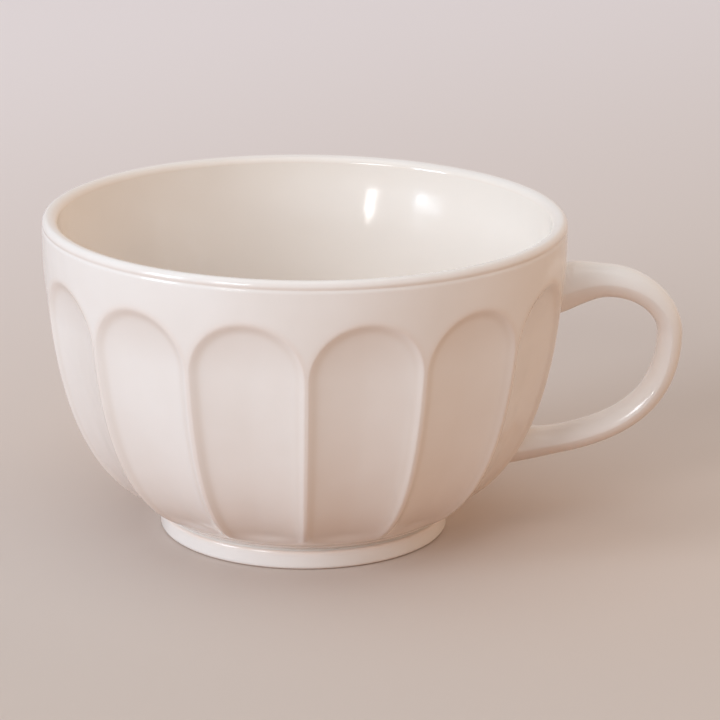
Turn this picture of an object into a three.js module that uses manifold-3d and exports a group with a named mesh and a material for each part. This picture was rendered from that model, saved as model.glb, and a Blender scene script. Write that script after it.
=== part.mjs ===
// Fluted stoneware mug: a wide bowl with arched flutes, a foot ring, a loop handle and the slip joining them.
// Millimetres, +Z up. The foot stands on z = 0 and the handle points along +X.
import * as THREE from "three";
import { mergeVertices } from "three/addons/utils/BufferGeometryUtils.js";
import Module from "manifold-3d";

// Rim and wall
const rimRadius = 60;
const mugHeight = 74.5;
const lipOuterRound = 3.2; // the lip falls away in a full round outside and has a tighter edge inside
const lipInnerRound = 0.6;
const wallThickness = 6.6;
const wallThinning = 26; // from the top of the rim down to where the wall has its full thickness
const floorThickness = 4.8;
const floorFlatRadius = 16;
const bandHeight = 6.5; // upright band, from the top of the rim down to where the wall starts to curve in

// Belly: the corner that pulls the wall's curve out between heel and band
const bellyInset = 1.1; // the corner lies this far in from the rim
const bellyHeight = 15.8;

// Foot ring and the slip in the groove above it
const footRadius = 33.6;
const footHeight = 4.5;
const footWidth = 5.8;
const footEdgeRound = 1;
const bearingWidth = 2.6;
const slipThickness = 0.7;
const grooveDepth = 1.3;
const heelOverhang = 0.6; // the bowl's heel stands out past the foot by this
const heelChamfer = 0.7;

// Flutes
const fluteCount = 14;
const plainBand = 9.7; // from the top of the rim down to the crown of each arch
const archRise = 12.7;
const ridgeWidth = 0.5;
const crestRound = 0.7; // radius that softens the ridges and the arched edges
const dishDepth = 1.9; // of the broad dish across a flute
const edgeDepth = 0.7; // of the narrow curl along its edge, which adds to the dish
const edgePower = 14; // a higher power makes the curl narrower and steeper
const runOutHeight = 4.5; // the flutes fade out over this height above the heel

// Handle: a rounded strap bent to a loop, thickest at the top root
const upperRootHeight = 57.4;
const lowerRootHeight = 18.8;
const apexHeight = 46.2;
const handleReach = 24.7; // from the rim's side to the centre of the loop's outermost point
const upperPull = 14.1;
const upperLift = 4.7;
const apexPullUp = 7.5;
const apexPullDown = 21.2;
const lowerPull = 16.4;
const lowerLift = 2.3;
const upperThickness = 7.5;
const apexThickness = 5.7;
const lowerThickness = 5.8;
const handleWidth = 9.6;
const sectionPower = 0.75; // 1 gives an elliptical section, and less makes it squarer, like a strap
const upperSpread = 2.2; // extra width and thickness at each root
const lowerSpread = 1;
const rootLength = 9; // length over which a root spreads and turns to lie along the wall

// Slip joints at the handle's roots
const rootStandOff = 3.7; // from the bottom of the flute that faces the handle to the middle of a root
const slipBead = 0.5;
const slipFlare = 0.8;
const seatGap = 0.3;

// Fineness of the faceted surfaces
const columnsPerHalfFlute = 4;
const fluteRowCount = 11;
const fluteRowCrowding = 1.3; // rows come closer together towards the arched edge
const edgeRowRise = 2.4; // the last two rows lie within this height under the arched edge
const bandRowCount = 3;
const lipRowCount = 8;
const insideRowCount = 11;
const insideSteps = 6;
const ringSegments = 72;
const handleSides = 20;
const handleSteps = 32;
const slipSteps = 4;
const roundSteps = 4;
const outlineSteps = 400;
const slopeStep = 0.5; // the wall's slope is measured this far above and below a height
const mergeDistance = 0.001;

// Heights and radii that follow from the sizes above
const seatHeight = footHeight + slipThickness;
const heelRadius = footRadius + heelOverhang;
const bellyRadius = rimRadius - bellyInset;
const heelHeight = seatHeight + heelChamfer;
const lipMiddle = rimRadius - lipOuterRound;
const lipHeight = mugHeight - lipOuterRound;
const crownHeight = mugHeight - plainBand;
const springHeight = crownHeight - archRise;
const floorHeight = seatHeight + floorThickness;
const fluteStep = (2 * Math.PI) / fluteCount;
const fluteHalfAngle = fluteStep / 2 - ridgeWidth / 2 / rimRadius;

const { lerp, smoothstep } = THREE.MathUtils;
const sideways = new THREE.Vector3(0, 1, 0);
const vec2 = (x, y) => new THREE.Vector2(x, y);
const inPlane = (radius, height) => new THREE.Vector3(radius, 0, height);

// The wall's outline at the ridges, as radius against height: one curve from the heel to the upright band
const heel = vec2(heelRadius, heelHeight);
const belly = vec2(bellyRadius, bellyHeight);
const bandFoot = vec2(rimRadius, mugHeight - bandHeight);

function outsideOutline() {
  const path = new THREE.Path();
  path.moveTo(heel.x, heel.y);
  path.quadraticCurveTo(belly.x, belly.y, bandFoot.x, bandFoot.y);
  path.lineTo(rimRadius, lipHeight);
  return path;
}

const outside = outsideOutline();
const outsidePoints = outside.getSpacedPoints(outlineSteps);

// How far along the outline a height lies, from 0 at the heel to 1 at the lip
function outlineShare(height) {
  const above = outsidePoints.findIndex((point, i) => i > 0 && point.y >= height);
  if (above < 0) {
    return 1;
  }
  const low = outsidePoints[above - 1].y;
  const high = outsidePoints[above].y;
  return (above - 1 + Math.max(0, height - low) / (high - low)) / outlineSteps;
}

// The outline's radius and height at a share of its length
function outlinePoint(share) {
  const low = Math.min(outlineSteps - 1, Math.floor(share * outlineSteps));
  return outsidePoints[low].clone().lerp(outsidePoints[low + 1], share * outlineSteps - low);
}

const wallRadius = (height) => outlinePoint(outlineShare(height)).x;

// Direction of the wall at a height, pointing up along it
function wallDirection(height) {
  const spread = wallRadius(height + slopeStep) - wallRadius(height - slopeStep);
  return inPlane(spread, 2 * slopeStep).normalize();
}

// Where two lines meet, each given by a point and a direction
function crossing(pointA, alongA, pointB, alongB) {
  const between = pointB.clone().sub(pointA);
  const share = between.cross(alongB) / alongA.cross(alongB);
  return pointA.clone().addScaledVector(alongA, share);
}

// The wall's thickness inwards from the outline, square to it
function insetPoint(share) {
  const along = outside.getTangent(share);
  return outlinePoint(share).add(vec2(-along.y, along.x).multiplyScalar(wallThickness));
}

// The inside, from the lip down: straight while the wall thickens, then in step with the outside, then a curve
// onto the flat floor
function insideOutline() {
  const fullShare = outlineShare(mugHeight - wallThinning);
  const inset = [];
  for (let i = insideSteps; i >= 0; i--) {
    inset.push(insetPoint((i / insideSteps) * fullShare));
  }
  const first = inset[0];
  const last = inset[insideSteps];
  const floorCorner = crossing(last, belly.clone().sub(heel), vec2(0, floorHeight), vec2(1, 0));
  const path = new THREE.Path();
  path.moveTo(lipMiddle - lipInnerRound, mugHeight - lipInnerRound);
  path.lineTo(first.x, first.y);
  path.splineThru(inset.slice(1));
  path.quadraticCurveTo(floorCorner.x, floorCorner.y, floorFlatRadius, floorHeight);
  return path;
}

// One flute: a broad dish that curls up to a softly rounded arched edge, and fades at the heel
function fluteHollow(across, height) {
  const rise = Math.max(0, (height - springHeight) / archRise);
  const reach = Math.min(1, Math.hypot(across, rise));
  const breadth = fluteHalfAngle * wallRadius(height);
  const fromEdge = Math.hypot((1 - reach) * breadth, crestRound) - crestRound;
  const softReach = Math.max(0, 1 - fromEdge / breadth);
  const depth = dishDepth * (1 - softReach ** 2) + edgeDepth * (1 - softReach ** edgePower);
  return depth * smoothstep(height, heelHeight, heelHeight + runOutHeight);
}

// Columns of the wall's grid: the azimuth, and the place across the flute from -1 to 1. A flute faces the
// handle.
const columns = [];
for (let flute = 0; flute < fluteCount; flute++) {
  for (let i = -columnsPerHalfFlute; i <= columnsPerHalfFlute; i++) {
    const across = Math.sin(((i / columnsPerHalfFlute) * Math.PI) / 2);
    columns.push({ across, azimuth: flute * fluteStep + across * fluteHalfAngle });
  }
}

// A row of the grid gives radius and height for each column. Plain rows are circles.
const plainRow = (radius, height) => () => vec2(radius, height);

// Where the arched edge of a flute crosses a column, as a share of the outline
const archEdge = (across) => outlineShare(springHeight + archRise * Math.sqrt(1 - across * across));

// Rows in the flutes run from the heel to the arched edge
function fluteRow(share, skin) {
  return ({ across }) => {
    const point = outlinePoint(share * archEdge(across));
    return vec2(point.x - fluteHollow(across, point.y) + skin, point.y);
  };
}

// Rows in the band run from the arched edge up to the lip
function bandRow(share, skin) {
  return ({ across }) => {
    const point = outlinePoint(lerp(archEdge(across), 1, share));
    return vec2(point.x + skin, point.y);
  };
}

// The outside of the bowl from the middle of its underside to the lip, with an optional skin added all round
function outsideRows(skin) {
  const rows = [plainRow(0, seatHeight - skin), plainRow(heelRadius - heelChamfer + skin, seatHeight - skin)];
  const edgeShare = edgeRowRise / (crownHeight - heelHeight);
  for (let i = 0; i <= fluteRowCount; i++) {
    const share = 1 - (1 - i / fluteRowCount) ** fluteRowCrowding;
    rows.push(fluteRow(share * (1 - edgeShare), skin));
  }
  rows.push(fluteRow(1 - edgeShare / 2, skin), fluteRow(1, skin));
  for (let i = 1; i <= bandRowCount; i++) {
    rows.push(bandRow(i / bandRowCount, skin));
  }
  return rows;
}

// A turned solid from rows that start and end on the axis
function turnRows(rows) {
  const geometry = new THREE.LatheGeometry(rows.map((row) => row(columns[0])), columns.length);
  const position = geometry.attributes.position;
  for (let i = 0; i <= columns.length; i++) {
    const column = columns[i % columns.length];
    rows.forEach((row, j) => {
      const { x: radius, y: height } = row(column);
      const x = radius * Math.cos(column.azimuth);
      const y = radius * Math.sin(column.azimuth);
      position.setXYZ(i * rows.length + j, x, y, height);
    });
  }
  return geometry;
}

function bowlGeometry() {
  const rows = outsideRows(0);
  for (let i = 1; i < lipRowCount; i++) {
    const turn = (i / lipRowCount) * Math.PI;
    const round = turn < Math.PI / 2 ? lipOuterRound : lipInnerRound;
    rows.push(plainRow(lipMiddle + round * Math.cos(turn), mugHeight - round + round * Math.sin(turn)));
  }
  for (const { x, y } of insideOutline().getSpacedPoints(insideRowCount)) {
    rows.push(plainRow(x, y));
  }
  rows.push(plainRow(0, floorHeight));
  return turnRows(rows);
}

// A closed ring about the axis from a profile that closes on itself
function ringGeometry(path) {
  return new THREE.LatheGeometry(path.getPoints(roundSteps), ringSegments).rotateX(Math.PI / 2);
}

function footRingGeometry() {
  const bearingOuter = footRadius - footEdgeRound;
  const bearingInner = bearingOuter - bearingWidth;
  const path = new THREE.Path();
  path.moveTo(bearingInner, 0);
  path.lineTo(bearingOuter, 0);
  path.quadraticCurveTo(footRadius, 0, footRadius, footEdgeRound);
  path.lineTo(footRadius, footHeight - footEdgeRound);
  path.quadraticCurveTo(footRadius, footHeight, footRadius - footEdgeRound, footHeight);
  path.lineTo(footRadius - footWidth, footHeight);
  path.lineTo(bearingInner, 0);
  return ringGeometry(path);
}

function footSlipGeometry() {
  const path = new THREE.Path();
  path.moveTo(footRadius - footWidth, footHeight);
  path.lineTo(footRadius - grooveDepth, footHeight);
  path.lineTo(footRadius - grooveDepth, seatHeight);
  path.lineTo(footRadius - footWidth, seatHeight);
  path.lineTo(footRadius - footWidth, footHeight);
  return ringGeometry(path);
}

// The handle's centre line: out from the upper root, round the apex and back to the lower root
const rootCentre = (height) => inPlane(wallRadius(height) - fluteHollow(0, height) + rootStandOff, height);
const upperRoot = rootCentre(upperRootHeight);
const lowerRoot = rootCentre(lowerRootHeight);
const apex = inPlane(rimRadius + handleReach, apexHeight);

const handleLine = new THREE.CurvePath();
handleLine.add(new THREE.CubicBezierCurve3(
  upperRoot,
  upperRoot.clone().add(inPlane(upperPull, upperLift)),
  apex.clone().add(inPlane(0, apexPullUp)),
  apex,
));
handleLine.add(new THREE.CubicBezierCurve3(
  apex,
  apex.clone().add(inPlane(0, -apexPullDown)),
  lowerRoot.clone().add(inPlane(lowerPull, lowerLift)),
  lowerRoot,
));
const handleLength = handleLine.getLength();
const apexShare = handleLine.curves[0].getLength() / handleLength;

// Half-section of the handle at a share of its length: its centre, its half-thickness and its half-width as vectors.
// Near a root the thickness turns from square across the line to lying along the wall.
function handleSection(share) {
  const centre = handleLine.getPointAt(share);
  const along = handleLine.getTangentAt(share);
  const outward = inPlane(-along.z, along.x);
  const nearUpper = share < apexShare;
  const toRoot = nearUpper ? share * handleLength : (1 - share) * handleLength;
  const blend = 1 - smoothstep(toRoot, 0, rootLength);
  const wall = wallDirection(nearUpper ? upperRootHeight : lowerRootHeight);
  wall.multiplyScalar(Math.sign(wall.dot(outward)));
  const lie = outward.clone().lerp(wall, blend).normalize();
  const rootThickness = nearUpper ? upperThickness : lowerThickness;
  const spread = blend * (nearUpper ? upperSpread : lowerSpread);
  const toApex = nearUpper ? share / apexShare : (1 - share) / (1 - apexShare);
  const thickness = lerp(rootThickness, apexThickness, smoothstep(toApex, 0, 1)) + spread;
  const width = handleWidth + spread;
  return {
    centre,
    thick: lie.multiplyScalar(thickness / 2 / lie.dot(outward)),
    wide: sideways.clone().multiplyScalar(-width / 2),
  };
}

// How far a turn round a section reaches to one side, from -1 to 1
const sideReach = (side) => Math.sign(side) * Math.abs(side) ** sectionPower;

// A closed loft of strap sections: a capped cylinder bent so that each of its rings fills one section
function loftGeometry(sectionAt, sides, steps) {
  const geometry = new THREE.CylinderGeometry(1, 1, 1, sides, steps);
  const position = geometry.attributes.position;
  for (let i = 0; i < position.count; i++) {
    const { centre, thick, wide } = sectionAt(0.5 - position.getY(i));
    const point = centre.clone();
    point.addScaledVector(thick, sideReach(position.getX(i)));
    point.addScaledVector(wide, sideReach(position.getZ(i)));
    position.setXYZ(i, point.x, point.y, point.z);
  }
  return geometry;
}

// Booleans work on merged closed meshes
const wasm = await Module();
wasm.setup();

function toSolid(geometry) {
  const bare = geometry.clone();
  bare.deleteAttribute("normal");
  bare.deleteAttribute("uv");
  const merged = mergeVertices(bare, mergeDistance);
  const index = merged.index.array;
  const triangles = [];
  for (let i = 0; i < index.length; i += 3) {
    const [a, b, c] = index.slice(i, i + 3);
    if (a !== b && b !== c && c !== a) {
      triangles.push(a, b, c);
    }
  }
  const vertProperties = new Float32Array(merged.attributes.position.array);
  return new wasm.Manifold(new wasm.Mesh({ numProp: 3, vertProperties, triVerts: new Uint32Array(triangles) }));
}

function toGeometry(solid) {
  const mesh = solid.getMesh();
  const geometry = new THREE.BufferGeometry();
  geometry.setAttribute("position", new THREE.BufferAttribute(mesh.vertProperties, 3));
  geometry.setIndex(new THREE.BufferAttribute(mesh.triVerts, 1));
  geometry.computeVertexNormals();
  return geometry;
}

// The wall as a solid plug, one seat gap larger than the bowl, to cut what is joined to the wall
const wallPlug = toSolid(turnRows([...outsideRows(seatGap), plainRow(0, lipHeight)]));

// The slip under a root: the root's own section carried on to the wall, with a bead that flares towards the wall
function rootSlipGeometry(share) {
  const { centre, thick, wide } = handleSection(share);
  const inward = handleLine.getTangentAt(share).multiplyScalar(share < apexShare ? -1 : 1);
  const depth = rootStandOff + wallThickness;
  const plug = loftGeometry((step) => {
    const along = share < apexShare ? 1 - step : step;
    const grow = slipBead + slipFlare * smoothstep(along, 0, 1);
    return {
      centre: centre.clone().addScaledVector(inward, lerp(seatGap, depth, along)),
      thick: thick.clone().setLength(thick.length() + grow),
      wide: wide.clone().setLength(wide.length() + grow),
    };
  }, handleSides, slipSteps);
  return toGeometry(toSolid(plug).subtract(wallPlug));
}

// Finishes
const creamGlaze = new THREE.MeshStandardMaterial({ color: 0xf1ebe6, roughness: 0.15, metalness: 0 });
const footGlaze = new THREE.MeshStandardMaterial({ color: 0xf1ebe6, roughness: 0.2, metalness: 0 });
const handleGlaze = new THREE.MeshStandardMaterial({ color: 0xf1eae4, roughness: 0.15, metalness: 0 });
const slipGlaze = new THREE.MeshStandardMaterial({ color: 0xeee4d8, roughness: 0.2, metalness: 0 });

// The mug, set so that the middle of its footprint stands on the origin
const mug = new THREE.Group();

function addPiece(name, geometry, material) {
  const piece = new THREE.Mesh(geometry, material);
  piece.name = name;
  mug.add(piece);
}

addPiece("bowl", bowlGeometry(), creamGlaze);
addPiece("foot_ring", footRingGeometry(), footGlaze);
addPiece("foot_slip_joint", footSlipGeometry(), slipGlaze);
addPiece("handle", loftGeometry(handleSection, handleSides, handleSteps), handleGlaze);
addPiece("upper_slip_joint", rootSlipGeometry(0), slipGlaze);
addPiece("lower_slip_joint", rootSlipGeometry(1), slipGlaze);

const footprint = new THREE.Box3().setFromObject(mug).getCenter(new THREE.Vector3());
mug.position.set(-footprint.x, -footprint.y, 0);

const group = new THREE.Group();
group.add(mug);

export default group;
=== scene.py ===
# Fluted stoneware mug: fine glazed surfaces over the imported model, on a pale floor in soft daylight
import math

import bpy
import numpy as np
from mathutils import Euler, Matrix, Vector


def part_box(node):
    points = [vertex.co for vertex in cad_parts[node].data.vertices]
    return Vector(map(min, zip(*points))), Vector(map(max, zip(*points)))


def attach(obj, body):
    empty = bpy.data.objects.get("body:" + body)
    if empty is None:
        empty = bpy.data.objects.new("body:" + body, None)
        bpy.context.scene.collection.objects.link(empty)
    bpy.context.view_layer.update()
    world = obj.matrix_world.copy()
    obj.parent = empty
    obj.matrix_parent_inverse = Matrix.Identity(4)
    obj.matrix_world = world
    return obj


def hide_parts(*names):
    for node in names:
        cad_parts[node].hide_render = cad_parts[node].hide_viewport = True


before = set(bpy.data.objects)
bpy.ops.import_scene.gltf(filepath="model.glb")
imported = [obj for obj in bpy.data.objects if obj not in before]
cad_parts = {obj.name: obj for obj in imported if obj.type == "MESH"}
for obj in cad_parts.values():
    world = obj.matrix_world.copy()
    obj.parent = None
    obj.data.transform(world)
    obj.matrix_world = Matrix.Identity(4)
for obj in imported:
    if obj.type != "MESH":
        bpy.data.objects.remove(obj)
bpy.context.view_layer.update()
bowlLow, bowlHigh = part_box("bowl")
mm = 0.001
axisX = (bowlLow.x + bowlHigh.x) / 2 / mm  # the bowl's axis, in millimetres along X
print("frame loaded:", sorted(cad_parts))


def ease(value, low, high):
    # 0 up to low, 1 from high on, and 3t^2 - 2t^3 between them
    t = np.clip((value - low) / (high - low), 0, 1)
    return t * t * (3 - 2 * t)


def unit(vectors):
    return vectors / np.linalg.norm(vectors, axis=-1, keepdims=True)


def bend(start, pull, end, count=60):
    # quadratic curve (1-t)^2 start + 2t(1-t) pull + t^2 end
    t = np.linspace(0, 1, count)[:, None]
    return (1 - t) ** 2 * start + 2 * t * (1 - t) * pull + t * t * end


def spaced(points, count):
    # count points evenly spaced along a line of points
    steps = np.linalg.norm(np.diff(points, axis=0), axis=1)
    length = np.concatenate([[0], np.cumsum(steps)])
    at = np.linspace(0, length[-1], count)
    return np.stack([np.interp(at, length, points[:, i]) for i in range(points.shape[1])], axis=1)


def gridPiece(name, points, attributes, closedEnds=True):
    # mesh on a grid whose columns wrap round: closed ends are fans from the end rows to their middles,
    # and otherwise the rows wrap round as well, as on a ring
    rows, columns = points.shape[:2]
    flat = points.reshape(-1, 3)
    index = np.arange(rows * columns).reshape(rows, columns)
    nextColumn = np.roll(index, -1, axis=1)
    if closedEnds:
        lower, lowerNext, upper, upperNext = index[:-1], nextColumn[:-1], index[1:], nextColumn[1:]
    else:
        lower, lowerNext = index, nextColumn
        upper, upperNext = np.roll(index, -1, axis=0), np.roll(nextColumn, -1, axis=0)
    quads = np.stack([lower, lowerNext, upperNext, upper], axis=-1).reshape(-1, 4)
    corners = [quads.ravel()]
    sizes = [np.full(len(quads), 4)]
    values = {key: value.reshape(-1) for key, value in attributes.items()}
    if closedEnds:
        ends = np.stack([points[0].mean(0), points[-1].mean(0)])
        first = np.full(columns, len(flat))
        last = first + 1
        flat = np.concatenate([flat, ends])
        corners.append(np.stack([first, nextColumn[0], index[0]], axis=-1).ravel())
        corners.append(np.stack([last, index[-1], nextColumn[-1]], axis=-1).ravel())
        sizes.append(np.full(2 * columns, 3))
        values = {key: np.concatenate([value, [value[:columns].mean(), value[-columns:].mean()]])
                  for key, value in values.items()}
    corners = np.concatenate(corners)
    sizes = np.concatenate(sizes)
    mesh = bpy.data.meshes.new(name)
    mesh.vertices.add(len(flat))
    mesh.vertices.foreach_set("co", (flat * mm).astype(np.float32).ravel())
    mesh.loops.add(len(corners))
    mesh.loops.foreach_set("vertex_index", corners.astype(np.int32))
    mesh.polygons.add(len(sizes))
    mesh.polygons.foreach_set("loop_start", np.concatenate([[0], np.cumsum(sizes)[:-1]]).astype(np.int32))
    mesh.polygons.foreach_set("loop_total", sizes.astype(np.int32))
    mesh.polygons.foreach_set("use_smooth", np.ones(len(sizes), dtype=bool))
    mesh.update(calc_edges=True)
    mesh.validate()
    for key, value in values.items():
        layer = mesh.attributes.new(key, "FLOAT", "POINT")
        layer.data.foreach_set("value", value.astype(np.float32))
    piece = bpy.data.objects.new(name, mesh)
    bpy.context.scene.collection.objects.link(piece)
    mesh.calc_loop_triangles()
    threes = np.empty(len(mesh.loop_triangles) * 3, dtype=np.int32)
    mesh.loop_triangles.foreach_get("vertices", threes)
    a, b, c = (flat[threes[i::3]] for i in range(3))
    volume = (a * np.cross(b, c)).sum() / 6 / 1000  # in cubic centimetres
    print(name, "made:", len(flat), "points,", len(sizes), "faces,", round(volume, 3), "cm3")
    return piece


def place(piece, node, material):
    piece.data.materials.append(material)
    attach(piece, "root")
    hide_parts(node)


def linear(hexColour):
    # sRGB hex to linear colour
    parts = [int(hexColour[i:i + 2], 16) / 255 for i in (1, 3, 5)]
    return tuple(p / 12.92 if p <= 0.04045 else ((p + 0.055) / 1.055) ** 2.4 for p in parts) + (1.0,)


def addNode(tree, kind, settings=None, **sockets):
    # one node; a socket's value is a number or colour, or another node's output to link
    node = tree.nodes.new(kind)
    for key, value in (settings or {}).items():
        setattr(node, key, value)
    for key, value in sockets.items():
        key = key.replace("_", " ")
        socket = node.inputs[int(key[4:])] if key.startswith("slot") else node.inputs[key]
        if isinstance(value, bpy.types.NodeSocket):
            tree.links.new(value, socket)
        else:
            socket.default_value = value
    return node


# Wall of the bowl, as radius and height about its axis, in millimetres
wall = dict(
    rimRadius=60, height=74.5, thickness=6.9, floorHeight=10, seatHeight=5.2,
    lipOuter=(1.3, 1.8), lipInner=(2.3, 1.7),  # breadth and drop of the lip's two rounds
    lineDrop=1.9, lineDepth=0.16, lineWidth=0.4,  # faint line round the outside, under the wiped lip
    bandHeight=6.5,  # upright band from the top of the rim down to where the curve of the wall starts
    bellyRadius=58.9, bellyHeight=15.8,  # corner that pulls the wall's curve out
    thinning=15, floorFlat=16,  # depth over which the wall thickens under the lip
    thinningPower=1.5,
    heelRadius=34.2, heelHeight=5.9, heelChamfer=0.7,
    innermost=0.5, underRows=(10, 20, 27, 31, 33.2),  # radii of the rows under the bowl, from its middle out
    curvePoints=400, outlinePoints=800,
)
flutes = dict(
    count=14, plainBand=9.7, archRise=12.7, ridge=0.5,
    dishDepth=1.9, edgeDepth=0.7, edgePower=14, crestRound=0.7, runOut=4.5,
    halfColumns=20, rows=70, bandRows=24, lipRows=32, insideRows=34,
    edgeCrowding=0.16, bandCrowding=1.6,  # rows come closer under the arched edge and under the lip
)
lipHeight = wall["height"] - wall["lipOuter"][1]
lipMiddle = wall["rimRadius"] - wall["lipOuter"][0]
crownHeight = wall["height"] - flutes["plainBand"]
springHeight = crownHeight - flutes["archRise"]
fluteStep = 2 * math.pi / flutes["count"]
fluteHalfAngle = fluteStep / 2 - flutes["ridge"] / 2 / wall["rimRadius"]
heel = np.array([wall["heelRadius"], wall["heelHeight"]])
belly = np.array([wall["bellyRadius"], wall["bellyHeight"]])
bandFoot = np.array([wall["rimRadius"], wall["height"] - wall["bandHeight"]])


def wallOutline():
    # outside of the wall along a ridge: one quadratic curve from the heel to the upright band
    curve = bend(heel, belly, bandFoot, wall["curvePoints"])
    top = [[wall["rimRadius"], lipHeight]]
    return spaced(np.concatenate([curve, top]), wall["outlinePoints"])


outline = wallOutline()
outlineShare = np.linspace(0, 1, len(outline))


def wallRadius(height):
    return np.interp(height, outline[:, 1], outline[:, 0])


def fluteReach(across, height):
    # 0 on a flute's middle line, 1 on its arched edge
    rise = np.maximum(0, (height - springHeight) / flutes["archRise"])
    return np.minimum(1, np.hypot(across, rise))


def fluteHollow(across, height):
    # depth under the ridges: a broad dish 1 - r^2 and a narrow curl 1 - r^14 along the edge, fading out at
    # the heel; the distance d from the edge becomes sqrt(d^2 + c^2) - c first, so that the crest is round
    reach = fluteReach(across, height)
    breadth = fluteHalfAngle * wallRadius(height)
    fromEdge = np.hypot((1 - reach) * breadth, flutes["crestRound"]) - flutes["crestRound"]
    soft = np.maximum(0, 1 - fromEdge / breadth)
    depth = flutes["dishDepth"] * (1 - soft**2) + flutes["edgeDepth"] * (1 - soft ** flutes["edgePower"])
    return depth * ease(height, wall["heelHeight"], wall["heelHeight"] + flutes["runOut"])


def surfaceRadius(azimuth, height):
    # the fluted outside: the outline less the hollow of the flute that the azimuth falls in
    fromMiddle = (azimuth + fluteStep / 2) % fluteStep - fluteStep / 2
    across = np.clip(fromMiddle / fluteHalfAngle, -1, 1)
    return wallRadius(height) - fluteHollow(across, height)


def insideOutline():
    # inside of the wall from the lip down: square in from the outside by a thickness that grows with the
    # depth d under the lip as 1 - e^-(d/l)^1.5, then a curve onto the flat floor
    top = wall["height"] - wall["lipInner"][1]
    lower = outline[outline[:, 1] < top][::-1]
    along = unit(np.gradient(lower, axis=0))
    lipBreadth = wall["lipOuter"][0] + wall["lipInner"][0]
    grown = 1 - np.exp(-(((top - lower[:, 1]) / wall["thinning"]) ** wall["thinningPower"]))
    thickness = lipBreadth + (wall["thickness"] - lipBreadth) * grown
    inset = lower + np.stack([along[:, 1], -along[:, 0]], axis=1) * thickness[:, None]
    curveEnd = inset[-1]
    last = along[-1] / along[-1, 1]
    floorCorner = curveEnd + last * (wall["floorHeight"] - curveEnd[1])
    sweep = bend(curveEnd, floorCorner, np.array([wall["floorFlat"], wall["floorHeight"]]))
    middle = [[wall["floorFlat"] / 2, wall["floorHeight"]], [wall["innermost"], wall["floorHeight"]]]
    return spaced(np.concatenate([inset, sweep[1:], middle]), flutes["insideRows"])


def lipLine(height):
    # depth of the faint line round the outside: a narrow bell curve about its own height
    fromLine = height - wall["height"] + wall["lineDrop"]
    return wall["lineDepth"] * np.exp(-(fromLine / wall["lineWidth"]) ** 2)


# Thin and thick places of the bowl's glaze: distances from an edge in millimetres, and shares of a colour
coat = dict(
    edgeFrom=-0.1, edgeWidth=0.75, edgeShare=0.3, poolFrom=1.6, poolWidth=0.8,
    wiped=(-0.5, 0.3), wipedShare=0.25,  # the wiped lip starts about its faint line
    fade=(1, 3), innerFrom=0.5,
)


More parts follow.
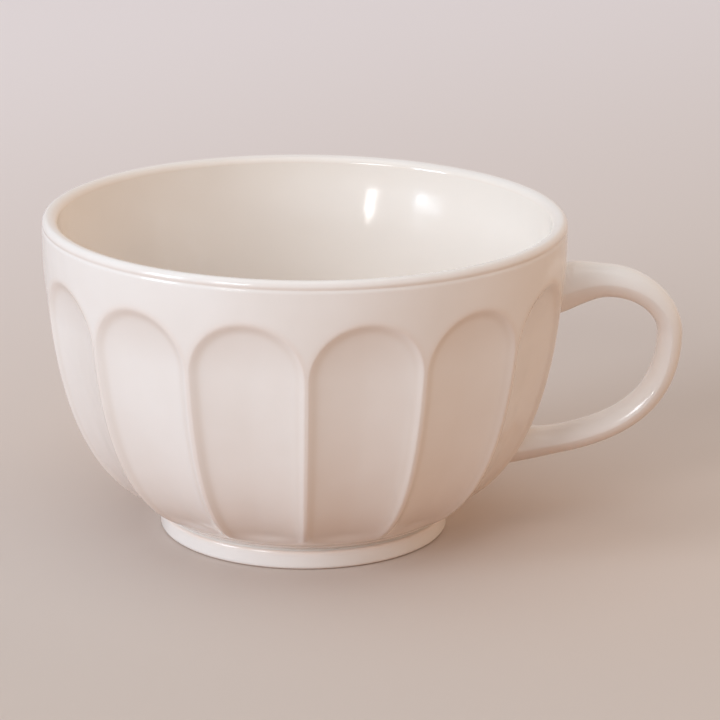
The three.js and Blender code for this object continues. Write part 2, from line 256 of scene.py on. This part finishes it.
def makeBowl():
    # rows run from the middle of the underside out to the heel, up the flutes to their arched edges, up the
    # band, over the lip and down the inside; columns crowd towards the ridges as sin(u), and a flute faces
    # the handle
    n = flutes["halfColumns"]
    across = np.tile(np.sin(np.linspace(-1, 1, 2 * n + 1) * math.pi / 2), flutes["count"])
    azimuth = np.repeat(np.arange(flutes["count"]), 2 * n + 1) * fluteStep + across * fluteHalfAngle
    ones = np.ones_like(across)
    arch = springHeight + flutes["archRise"] * np.sqrt(1 - across**2)
    edgeShare = np.interp(arch, outline[:, 1], outlineShare)

    flatRadius = np.array([wall["innermost"], *wall["underRows"]])
    turn = np.linspace(0, math.pi / 2, 5)[:-1]
    chamfer = wall["heelChamfer"]
    underRadius = np.concatenate([flatRadius, wall["heelRadius"] - chamfer + chamfer * np.sin(turn)])
    underHeight = np.concatenate([flatRadius * 0, chamfer * (1 - np.cos(turn))]) + wall["seatHeight"]

    up = np.linspace(0, 1, flutes["rows"])
    up = up + flutes["edgeCrowding"] * np.sin(up * math.pi) * up
    share = up[:, None] * edgeShare[None, :]
    fluteHeight = np.interp(share, outlineShare, outline[:, 1])
    fluteRadius = np.interp(share, outlineShare, outline[:, 0]) - fluteHollow(across[None, :], fluteHeight)
    more = 1 - (1 - np.linspace(0, 1, flutes["bandRows"] + 1)[1:]) ** flutes["bandCrowding"]
    share = edgeShare[None, :] + more[:, None] * (1 - edgeShare[None, :])
    bandHeight = np.interp(share, outlineShare, outline[:, 1])
    bandRadius = np.interp(share, outlineShare, outline[:, 0]) - lipLine(bandHeight)

    turn = np.linspace(0, math.pi, flutes["lipRows"] + 1)[1:-1]
    outerSide = turn < math.pi / 2
    outerRound = np.array([wall["lipOuter"]]).T
    innerRound = np.array([wall["lipInner"]]).T
    breadth, drop = np.where(outerSide, outerRound, innerRound)
    lipRise = wall["height"] - drop + drop * np.sin(turn)
    lipRadius = lipMiddle + breadth * np.cos(turn) - lipLine(lipRise) * outerSide
    inside = insideOutline()

    radius = np.concatenate([underRadius[:, None] * ones, fluteRadius, bandRadius,
                             lipRadius[:, None] * ones, inside[:, :1] * ones])
    height = np.concatenate([underHeight[:, None] * ones, fluteHeight, bandHeight,
                             lipRise[:, None] * ones, inside[:, 1:] * ones])
    points = np.stack([axisX + radius * np.cos(azimuth), radius * np.sin(azimuth), height], axis=-1)

    # glaze runs thin over ridges, arched edges and lip, and lies thick in the corners of the flutes
    counts = [len(underRadius), len(fluteRadius), len(bandRadius), len(lipRadius), len(inside)]
    part = np.repeat(np.arange(5), counts)[:, None] * ones  # 0 underside, 1 flutes, 2 band, 3 lip, 4 inside
    outsideWall = (part == 1) | (part == 2)
    rise = np.maximum(0, (height - springHeight) / flutes["archRise"])
    reachFull = np.hypot(across[None, :], rise)
    fromEdge = (1 - reachFull) * fluteHalfAngle * wall["rimRadius"]
    fadeEnd = wall["heelHeight"] + flutes["runOut"] + coat["fade"][1]
    fade = ease(height, wall["heelHeight"] + coat["fade"][0], fadeEnd)
    thinEdge = np.exp(-((fromEdge - coat["edgeFrom"]) / coat["edgeWidth"]) ** 2) * fade * outsideWall
    lineHeight = wall["height"] - wall["lineDrop"]
    wiped = ease(height, lineHeight + coat["wiped"][0], lineHeight + coat["wiped"][1])
    wiped = wiped * ((part == 2) | (part == 3))
    thin = np.clip(thinEdge * coat["edgeShare"] + wiped * coat["wipedShare"], 0, 1)
    # painted shade: the inside and the inner round of the lip take the warmer, darker inside colour
    inner = (part == 4) + (part == 3) * ease(lipMiddle - radius, coat["innerFrom"], wall["lipInner"][0])
    poolAndShade = np.exp(-((fromEdge - coat["poolFrom"]) / coat["poolWidth"]) ** 2) * fade * (part == 1)
    return gridPiece("bowl_glazed", points, {"thin": thin, "poolAndShade": poolAndShade, "inner": inner})


def ringPiece(name, section, columns, attributes):
    # a closed section, as radius and height, carried round the bowl's axis
    turn = np.linspace(0, 2 * math.pi, columns, endpoint=False)
    radius = section[:, :1] * np.ones(columns)
    height = section[:, 1:] * np.ones(columns)
    points = np.stack([axisX + radius * np.cos(turn), radius * np.sin(turn), height], axis=-1)
    values = {key: value[:, None] * np.ones(columns) for key, value in attributes.items()}
    return gridPiece(name, points, values, closedEnds=False)


foot = dict(
    radius=33.6, height=4.5, width=5.8, edgeRound=1.0, bearing=2.6, innerChamfer=0.4, columns=288,
    bareRise=(0.1, 0.35), bareInset=0.15,  # bare clay under the first height, glaze over the second
    edgeDrop=0.3, edgeWidth=0.5, edgeInset=1.2,  # thin glaze along the upper edge
)


def makeFootRing():
    # flat bearing face, rounded outer edges, and an inner side that leans in as it rises
    r, h, e = foot["radius"], foot["height"], foot["edgeRound"]
    inner = r - e - foot["bearing"]
    cut = foot["innerChamfer"]
    section = np.concatenate([
        np.linspace([inner + cut, 0], [r - e, 0], 6),
        bend(np.array([r - e, 0]), np.array([r, 0]), np.array([r, e]), 8)[1:],
        np.linspace([r, e], [r, h - e], 6)[1:],
        bend(np.array([r, h - e]), np.array([r, h]), np.array([r - e, h]), 8)[1:],
        np.linspace([r - e, h], [r - foot["width"], h], 5)[1:],
        np.linspace([r - foot["width"], h], [inner, cut], 6)[1:],
    ])
    radius, height = section.T
    bareLow, bareHigh = foot["bareRise"]
    bare = ease(-height, -bareHigh, -bareLow) * (radius < r - foot["bareInset"])
    edge = np.exp(-((height - (h - foot["edgeDrop"])) / foot["edgeWidth"]) ** 2)
    edge = edge * (radius > r - foot["edgeInset"])
    values = {"thin": edge, "poolAndShade": bare * 0, "bare": bare}
    return ringPiece("foot_ring_glazed", section, foot["columns"], values)


footSlip = dict(inner=27.8, outer=32.3, low=4.5, high=5.2, lap=0.9, hollow=0.5)


def makeFootSlip():
    # a thin ring whose outer side is hollow, as slip wiped round with a sponge
    inner, low, high = footSlip["inner"], footSlip["low"], footSlip["high"]
    edge = footSlip["outer"] + footSlip["lap"]
    middle = np.array([footSlip["outer"] - footSlip["hollow"], (low + high) / 2])
    lip = bend(np.array([edge, low]), middle, np.array([edge, high]), 12)
    section = np.concatenate([
        np.linspace([inner, low], lip[0], 5), lip[1:],
        np.linspace(lip[-1], [inner, high], 5)[1:],
    ])
    flat = section[:, 0] * 0
    return ringPiece("foot_slip_glazed", section, foot["columns"], {"thin": flat, "poolAndShade": flat + 1})
# the whole ring takes the greyer colour in full: glaze lying thick in the groove between bowl and foot, and
# painted shade in that groove


handle = dict(
    upperRoot=57.4, lowerRoot=18.8, apexHeight=46.2, reach=24.67, standOff=3.7,
    upperPull=(14.1, 4.7), apexPullUp=7.5, apexPullDown=21.2, lowerPull=(16.4, 2.3),
    upperThickness=7.95, apexThickness=5.7, lowerThickness=6.25, width=9.6,
    upperSpread=2.2, lowerSpread=1, rootLength=9, slopeStep=0.5, curvePoints=400, steps=180, sides=96,
    widthPower=0.75, edgePower=1.4,  # under 1 flattens the broad faces, over 1 ridges the sides
)


def handleLine():
    # centre line, as distance from the axis and height: two cubic curves that meet upright at the apex
    upper = np.array([surfaceRadius(0, handle["upperRoot"]) + handle["standOff"], handle["upperRoot"]])
    lower = np.array([surfaceRadius(0, handle["lowerRoot"]) + handle["standOff"], handle["lowerRoot"]])
    apex = np.array([wall["rimRadius"] + handle["reach"], handle["apexHeight"]])
    t = np.linspace(0, 1, handle["curvePoints"])[:, None]
    weights = [(1 - t) ** 3, 3 * t * (1 - t) ** 2, 3 * t * t * (1 - t), t**3]
    first = [upper, upper + handle["upperPull"], apex + [0, handle["apexPullUp"]], apex]
    second = [apex, apex - [0, handle["apexPullDown"]], lower + handle["lowerPull"], lower]
    over = sum(w * p for w, p in zip(weights, first))
    under = sum(w * p for w, p in zip(weights, second))
    share = np.linalg.norm(np.diff(over, axis=0), axis=1).sum()
    share = share / (share + np.linalg.norm(np.diff(under, axis=0), axis=1).sum())
    return spaced(np.concatenate([over, under[1:]]), handle["steps"] + 1), share


def handleSections():
    # for each step: the centre, the half-thickness vector, which lies along the wall at the roots, the
    # half-width and the direction of the centre line
    centre, apexShare = handleLine()
    along = unit(np.gradient(centre, axis=0))
    outward = np.stack([-along[:, 1], along[:, 0]], axis=1)
    share = np.linspace(0, 1, len(centre))
    length = np.linalg.norm(np.diff(centre, axis=0), axis=1).sum()
    near = share < apexShare
    toRoot = np.where(near, share, 1 - share) * length
    blend = 1 - ease(toRoot, 0, handle["rootLength"])
    rootHeight = np.where(near, handle["upperRoot"], handle["lowerRoot"])
    step = handle["slopeStep"]
    slope = (wallRadius(rootHeight + step) - wallRadius(rootHeight - step)) / (2 * step)
    lean = unit(np.stack([slope, np.ones(len(share))], axis=1))
    lean = lean * np.sign((lean * outward).sum(1, keepdims=True))
    lie = unit(outward * (1 - blend[:, None]) + lean * blend[:, None])
    spread = blend * np.where(near, handle["upperSpread"], handle["lowerSpread"])
    toApex = ease(np.where(near, share / apexShare, (1 - share) / (1 - apexShare)), 0, 1)
    root = np.where(near, handle["upperThickness"], handle["lowerThickness"])
    thickness = root + (handle["apexThickness"] - root) * toApex + spread
    thick = lie * (thickness / 2 / (lie * outward).sum(1))[:, None]
    return centre, thick, (handle["width"] + spread) / 2, along


def strapSection():
    # once round a section, for thickness and width: the sign of cos or sin times its size to a power
    turn = np.linspace(0, 2 * math.pi, handle["sides"], endpoint=False)
    reach = np.stack([np.cos(turn), np.sin(turn)])
    power = np.array([[handle["edgePower"]], [handle["widthPower"]]])
    return np.sign(reach) * np.abs(reach) ** power


def makeHandle():
    # the strap section carried along the centre line
    centre, thick, halfWidth = handleSections()[:3]
    across, aside = strapSection()
    plane = centre[:, None, :] + thick[:, None, :] * across[None, :, None]
    side = -halfWidth[:, None] * aside[None, :]
    points = np.stack([axisX + plane[..., 0], side, plane[..., 1]], axis=-1)
    flat = points[..., 0] * 0
    return gridPiece("handle_glazed", points, {"thin": flat, "poolAndShade": flat})


rootSlip = dict(
    start=5, tuck=0.02, flare=2.2, cover=0.12, lift=0.03, rings=20, passes=8, poolAndShadeShare=0.5,
    sink=0.5, underInset=0.4, hidden=1.2,  # its unseen ends, under the wall's surface and the handle's
)


def makeRootSlip(name, upperEnd):
    # fillet between handle and wall: a sleeve that starts tucked under the root's surface and lifts off it
    # by the square of the distance, then a quadratic curve that runs on along the handle and bends out onto
    # the wall
    centre, thick, halfWidth, along = handleSections()
    first = int(round(rootSlip["start"] / np.linalg.norm(centre[1] - centre[0])))
    if not upperEnd:
        centre, thick, halfWidth, along = centre[::-1], thick[::-1], halfWidth[::-1], -along[::-1]
    inward = np.array([-along[0, 0], 0, -along[0, 1]])
    across, aside = strapSection()

    def ring(i, grow):
        plane = centre[i] + thick[i] * across[:, None] * (1 + grow / np.linalg.norm(thick[i]))
        return np.stack([plane[:, 0], (halfWidth[i] + grow) * aside, plane[:, 1]], axis=-1)

    def toWall(points, lift):
        # moves points along the handle's direction until they stand off the wall by the lift
        for _ in range(rootSlip["passes"]):
            azimuth = np.arctan2(points[:, 1], points[:, 0])
            gap = np.hypot(points[:, 0], points[:, 1]) - surfaceRadius(azimuth, points[:, 2]) - lift
            points = points - inward * (gap / inward[0])[:, None]
        return points

    rise = rootSlip["tuck"] + rootSlip["cover"]
    grow = rise * np.linspace(0, 1, first + 1) ** 2 - rootSlip["tuck"]
    sleeve = np.stack([ring(first - i, grow[i]) for i in range(first + 1)])
    begin = sleeve[-1]
    corner = toWall(ring(0, rootSlip["cover"]), rootSlip["cover"])
    end = toWall(ring(0, rootSlip["flare"]), rootSlip["lift"])
    t = np.linspace(0, 1, rootSlip["rings"])[:, None, None]
    fillet = (1 - t) ** 2 * begin + 2 * t * (1 - t) * corner + t * t * end
    under = toWall(ring(0, rootSlip["flare"] - rootSlip["underInset"]), -rootSlip["sink"])
    hidden = ring(first, -rootSlip["hidden"])
    points = np.concatenate([hidden[None], sleeve, fillet[1:], under[None]])
    if not upperEnd:
        points = points[::-1]
    points = points + np.array([axisX, 0, 0])
    # painted shade: the greyer colour grows along the fillet towards the wall, where shade falls at the
    # handle's root
    poolAndShade = np.concatenate([np.zeros(first + 1), t.ravel(), [1]]) * rootSlip["poolAndShadeShare"]
    poolAndShade = (poolAndShade if upperEnd else poolAndShade[::-1])[:, None] * np.ones(len(across))
    return gridPiece(name, points, {"thin": poolAndShade * 0, "poolAndShade": poolAndShade})


# Glazed stoneware: a cream tin-white glaze, fired glossy over buff clay. It gives a soft white body with
# sharp small highlights, goes warm and thin on edges and a little greyer where it lies thick. The inside
# colour is painted shade, warmer and darker than the outside; the greyer colour is also painted shade in
# the groove over the foot and at the handle's roots.
glaze = dict(
    cream="#f1ebe6", cloud="#f4efeb", inside="#efe5dc", thin="#e6cdbd", poolAndShade="#e9e0d8",
    clay="#cfb196", fleck="#c9ab8e", poolAndShadeShare=0.55, roughness=0.11, ior=1.5,
    cloudMm=25, breakMm=6, rippleMm=9, pitMm=1.2, gritMm=0.8,  # sizes of the noise
)


def glazedStoneware(name, cream, hasBare=False):
    material = bpy.data.materials.new(name)
    material.use_nodes = True
    tree = material.node_tree
    tree.nodes.clear()
    place3d = addNode(tree, "ShaderNodeTexCoord").outputs["Object"]
    thin = addNode(tree, "ShaderNodeAttribute", dict(attribute_name="thin")).outputs["Fac"]
    poolAndShade = addNode(tree, "ShaderNodeAttribute", dict(attribute_name="poolAndShade")).outputs["Fac"]
    # clouds of thicker and thinner glaze
    cloud = addNode(tree, "ShaderNodeTexNoise", Vector=place3d, Scale=1000 / glaze["cloudMm"],
                    Detail=3.0, Roughness=0.5)
    cloudy = addNode(tree, "ShaderNodeMapRange", Value=cloud.outputs["Fac"], From_Min=0.35, From_Max=0.65)
    body = addNode(tree, "ShaderNodeMix", dict(data_type="RGBA"), slot0=cloudy.outputs["Result"],
                   slot6=linear(cream), slot7=linear(glaze["cloud"]))
    inner = addNode(tree, "ShaderNodeAttribute", dict(attribute_name="inner")).outputs["Fac"]
    # painted shade: the warmer, darker inside colour, where the inner attribute is 1
    insideShaded = addNode(tree, "ShaderNodeMix", dict(data_type="RGBA"), slot0=inner,
                    slot6=body.outputs[2], slot7=linear(glaze["inside"]))
    # the greyer colour: glaze lying thick in the flutes, and painted shade in the groove over the foot and at
    # the handle's roots
    poolAndShadeAmount = addNode(tree, "ShaderNodeMath", dict(operation="MULTIPLY"), slot0=poolAndShade, slot1=glaze["poolAndShadeShare"])
    thick = addNode(tree, "ShaderNodeMix", dict(data_type="RGBA"), slot0=poolAndShadeAmount.outputs[0],
                    slot6=insideShaded.outputs[2], slot7=linear(glaze["poolAndShade"]))
    # the thin edge is broken by a finer noise
    breakUp = addNode(tree, "ShaderNodeTexNoise", Vector=place3d, Scale=1000 / glaze["breakMm"], Detail=2.0)
    broken = addNode(tree, "ShaderNodeMapRange", Value=breakUp.outputs["Fac"], From_Min=0.2, From_Max=0.8,
                     To_Min=0.35, To_Max=0.8)
    worn = addNode(tree, "ShaderNodeMath", dict(operation="MULTIPLY"), slot0=thin,
                   slot1=broken.outputs["Result"])
    colour = addNode(tree, "ShaderNodeMix", dict(data_type="RGBA"), slot0=worn.outputs[0],
                     slot6=thick.outputs[2], slot7=linear(glaze["thin"]))
    # slow ripple of the fired surface and fine pits
    ripple = addNode(tree, "ShaderNodeTexNoise", Vector=place3d, Scale=1000 / glaze["rippleMm"], Detail=1.0)
    pits = addNode(tree, "ShaderNodeTexNoise", Vector=place3d, Scale=1000 / glaze["pitMm"], Detail=2.0)
    slow = addNode(tree, "ShaderNodeBump", Strength=0.12, Distance=0.0012, Height=ripple.outputs["Fac"])
    fine = addNode(tree, "ShaderNodeBump", Strength=0.03, Distance=0.0002, Height=pits.outputs["Fac"],
                   Normal=slow.outputs["Normal"])
    rough = addNode(tree, "ShaderNodeMapRange", Value=cloud.outputs["Fac"], From_Min=0.3, From_Max=0.7,
                    To_Min=glaze["roughness"] - 0.03, To_Max=glaze["roughness"] + 0.05)
    baseColour, baseRough = colour.outputs[2], rough.outputs["Result"]
    if hasBare:
        bare = addNode(tree, "ShaderNodeAttribute", dict(attribute_name="bare")).outputs["Fac"]
        grit = addNode(tree, "ShaderNodeTexNoise", Vector=place3d, Scale=1000 / glaze["gritMm"], Detail=3.0)
        clay = addNode(tree, "ShaderNodeMix", dict(data_type="RGBA"), slot0=grit.outputs["Fac"],
                       slot6=linear(glaze["clay"]), slot7=linear(glaze["fleck"]))
        baseColour = addNode(tree, "ShaderNodeMix", dict(data_type="RGBA"), slot0=bare, slot6=baseColour,
                             slot7=clay.outputs[2]).outputs[2]
        matt = addNode(tree, "ShaderNodeMapRange", Value=bare, To_Min=0.16, To_Max=0.75)
        baseRough = matt.outputs["Result"]
    shader = addNode(tree, "ShaderNodeBsdfPrincipled", Base_Color=baseColour, Roughness=baseRough,
                     IOR=glaze["ior"], Normal=fine.outputs["Normal"])
    addNode(tree, "ShaderNodeOutputMaterial", Surface=shader.outputs["BSDF"])
    return material


creamGlaze = glazedStoneware("cream_glazed_stoneware", glaze["cream"])
footGlaze = glazedStoneware("wiped_foot_stoneware", glaze["cream"], hasBare=True)
slipGlaze = glazedStoneware("glaze_over_slip", glaze["cream"])
place(makeBowl(), "bowl", creamGlaze)
place(makeFootRing(), "foot_ring", footGlaze)
place(makeFootSlip(), "foot_slip_joint", slipGlaze)
place(makeHandle(), "handle", creamGlaze)
place(makeRootSlip("upper_slip_glazed", True), "upper_slip_joint", slipGlaze)
place(makeRootSlip("lower_slip_glazed", False), "lower_slip_joint", slipGlaze)
print("mug dressed")

studio = dict(
    floor="#d3c4ba", floorFar="#f4ebec", bounce="#bd967c", backdrop="#dfd3ce", floorRadius=8,
    coolSide="#949ea7", warmSide="#f8d4ad", skyStrength=1.3,
    paleWay=(-0.5, 0.87, 0), coolWay=(-0.55, -0.35, 0.76),  # where the floor grows pale and the room cool
    aimHeight=0.04,
)


def makeFloor():
    mesh = bpy.data.meshes.new("floor")
    r = studio["floorRadius"]
    mesh.from_pydata([(-r, -r, 0), (r, -r, 0), (r, r, 0), (-r, r, 0)], [], [(0, 1, 2, 3)])
    floor = bpy.data.objects.new("floor", mesh)
    bpy.context.scene.collection.objects.link(floor)
    material = bpy.data.materials.new("matt_painted_board")
    material.use_nodes = True
    tree = material.node_tree
    tree.nodes.clear()
    place3d = addNode(tree, "ShaderNodeTexCoord").outputs["Object"]
    away = addNode(tree, "ShaderNodeVectorMath", dict(operation="DOT_PRODUCT"), slot0=place3d,
                   slot1=studio["paleWay"])
    back = addNode(tree, "ShaderNodeMapRange", dict(interpolation_type="SMOOTHSTEP"),
                   Value=away.outputs["Value"], From_Min=-0.1, From_Max=0.7)
    tint = addNode(tree, "ShaderNodeMix", dict(data_type="RGBA"), slot0=back.outputs["Result"],
                   slot6=linear(studio["floor"]), slot7=linear(studio["floorFar"]))
    # seen and mirrored it is the pale board, while the light that it throws back up is browner
    path = addNode(tree, "ShaderNodeLightPath")
    seen = addNode(tree, "ShaderNodeMath", dict(operation="MAXIMUM"), slot0=path.outputs["Is Camera Ray"],
                   slot1=path.outputs["Is Glossy Ray"])
    shown = addNode(tree, "ShaderNodeMix", dict(data_type="RGBA"), slot0=seen.outputs[0],
                    slot6=linear(studio["bounce"]), slot7=tint.outputs[2])
    shader = addNode(tree, "ShaderNodeBsdfPrincipled", Base_Color=shown.outputs[2], Roughness=0.8)
    addNode(tree, "ShaderNodeOutputMaterial", Surface=shader.outputs["BSDF"])
    mesh.materials.append(material)


lamps = [  # a wide window and a higher one at the left, a small pane low down, and a soft light overhead
    dict(name="wide_window", azimuth=-154.5, distance=4, height=1.32,
         size=(1.2, 1.8), power=72, colour="#e2f1ff"),
    dict(name="high_window", azimuth=-123.5, distance=4, height=1.76,
         size=(1.2, 1.2), power=47, colour="#f4faff"),
    dict(name="small_pane", azimuth=-123.5, distance=4, height=0.62,
         size=(0.16, 0.12), power=3.2, colour="#ffffff"),
    dict(name="overhead", azimuth=-130, distance=0.25, height=1.6,
         size=(1.4, 1.4), power=4.5, colour="#fffaf6"),
]


def makeLamps():
    for lamp in lamps:
        light = bpy.data.lights.new(lamp["name"], "AREA")
        light.shape = "RECTANGLE"
        light.size, light.size_y = lamp["size"]
        light.energy = lamp["power"]
        light.color = linear(lamp["colour"])[:3]
        made = bpy.data.objects.new(lamp["name"], light)
        bpy.context.scene.collection.objects.link(made)
        angle = math.radians(lamp["azimuth"])
        away = np.array([math.cos(angle), math.sin(angle)]) * lamp["distance"]
        made.location = (axisX * mm + away[0], away[1], lamp["height"])
        down = math.atan2(lamp["distance"], lamp["height"] - studio["aimHeight"])  # aims it at the bowl
        made.rotation_euler = Euler((down, 0, angle + math.pi / 2))
    world = bpy.data.worlds.new("room_light")
    bpy.context.scene.world = world
    world.use_nodes = True
    tree = world.node_tree
    tree.nodes.clear()
    # a room that is cool up and to the left, and warm down and to the right
    direction = addNode(tree, "ShaderNodeTexCoord").outputs["Generated"]
    towardsLight = addNode(tree, "ShaderNodeVectorMath", dict(operation="DOT_PRODUCT"), slot0=direction,
                           slot1=studio["coolWay"])
    share = addNode(tree, "ShaderNodeMapRange", dict(interpolation_type="SMOOTHSTEP"),
                    Value=towardsLight.outputs["Value"], From_Min=-0.7, From_Max=0.8)
    sky = addNode(tree, "ShaderNodeMix", dict(data_type="RGBA"), slot0=share.outputs["Result"],
                  slot6=linear(studio["warmSide"]), slot7=linear(studio["coolSide"]))
    glow = addNode(tree, "ShaderNodeBackground", Color=sky.outputs[2], Strength=studio["skyStrength"])
    # seen or mirrored, the room is a plain pale backdrop
    path = addNode(tree, "ShaderNodeLightPath")
    seen = addNode(tree, "ShaderNodeMath", dict(operation="MAXIMUM"), slot0=path.outputs["Is Camera Ray"],
                   slot1=path.outputs["Is Glossy Ray"])
    plain = addNode(tree, "ShaderNodeBackground", Color=linear(studio["backdrop"]), Strength=1.0)
    room = addNode(tree, "ShaderNodeMixShader", slot0=seen.outputs[0], slot1=glow.outputs["Background"],
                   slot2=plain.outputs["Background"])
    addNode(tree, "ShaderNodeOutputWorld", Surface=room.outputs["Shader"])


view = dict(
    at=(-0.0189, -0.66989, 0.24302), turn=(73.089, -0.583, -1.363), lens=150.88, sensor=36, near=0.05, far=40,
)


def makeCamera():
    data = bpy.data.cameras.new("camera")
    data.sensor_width = view["sensor"]
    data.lens = view["lens"]
    data.clip_start, data.clip_end = view["near"], view["far"]
    camera = bpy.data.objects.new("camera", data)
    camera.location = view["at"]
    camera.rotation_euler = Euler([math.radians(angle) for angle in view["turn"]])
    bpy.context.scene.collection.objects.link(camera)
    bpy.context.scene.camera = camera


makeFloor()
makeLamps()
makeCamera()
bpy.context.scene.view_settings.view_transform = "Standard"
print("floor, lamps and camera set")
